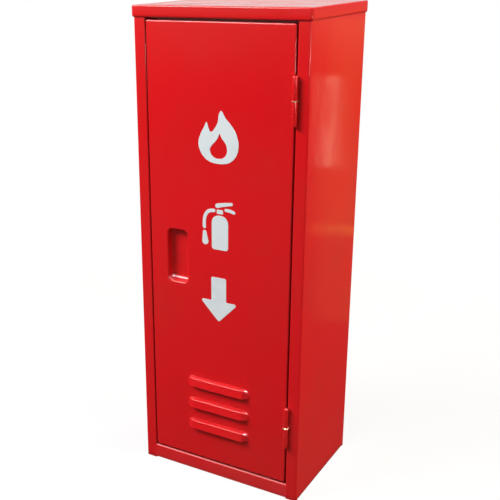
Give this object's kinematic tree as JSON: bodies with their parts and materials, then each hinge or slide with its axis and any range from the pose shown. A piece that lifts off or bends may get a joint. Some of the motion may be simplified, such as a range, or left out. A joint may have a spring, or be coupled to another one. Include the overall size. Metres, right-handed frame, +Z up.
{
  "type": "fire extinguisher cabinet",
  "caption": "Tall narrow sheet-steel cabinet for one fire extinguisher, with a hinged front door, finger pull and pressed louvres.",
  "frame": {"origin": "on the ground, at the middle of the overall box", "axes": "+X to the right seen from the front, +Y from the door to the back, +Z up"},
  "size_m": [0.266, 0.1968, 0.7],
  "materials": {
    "red_paint": "glossy baked enamel",
    "plated_steel": "zinc plated",
    "pin_steel": "bright",
    "washer_steel": "bright",
    "black_plastic": "moulded",
    "magnet": "sintered"
  },
  "bodies": {
    "cabinet": {"left_side_panel": "red_paint", "right_side_panel": "red_paint", "back_panel": "red_paint", "roof_cap": "red_paint", "floor_pan": "red_paint", "head_rail": "red_paint", "catch_bracket": "red_paint", "catch_case": "black_plastic", "catch_magnet": "magnet", "catch_pole_plates": "plated_steel", "upper_hinge_frame_leaf": "red_paint", "lower_hinge_frame_leaf": "red_paint", "upper_hinge_pin": "pin_steel", "lower_hinge_pin": "pin_steel", "upper_hinge_washer": "washer_steel", "lower_hinge_washer": "washer_steel"},
    "door": {"door_panel": "red_paint", "finger_pull_cup": "red_paint", "upper_hinge_door_leaf": "red_paint", "lower_hinge_door_leaf": "red_paint", "catch_strike_plate": "plated_steel"}
  },
  "joints": [
    {"name": "door_hinge", "type": "hinge", "parent": "cabinet", "child": "door", "pos_m": [0.11325, -0.0942, 0.35375], "axis": [0, 0, 1], "range_deg": [0, 180]}
  ]
}
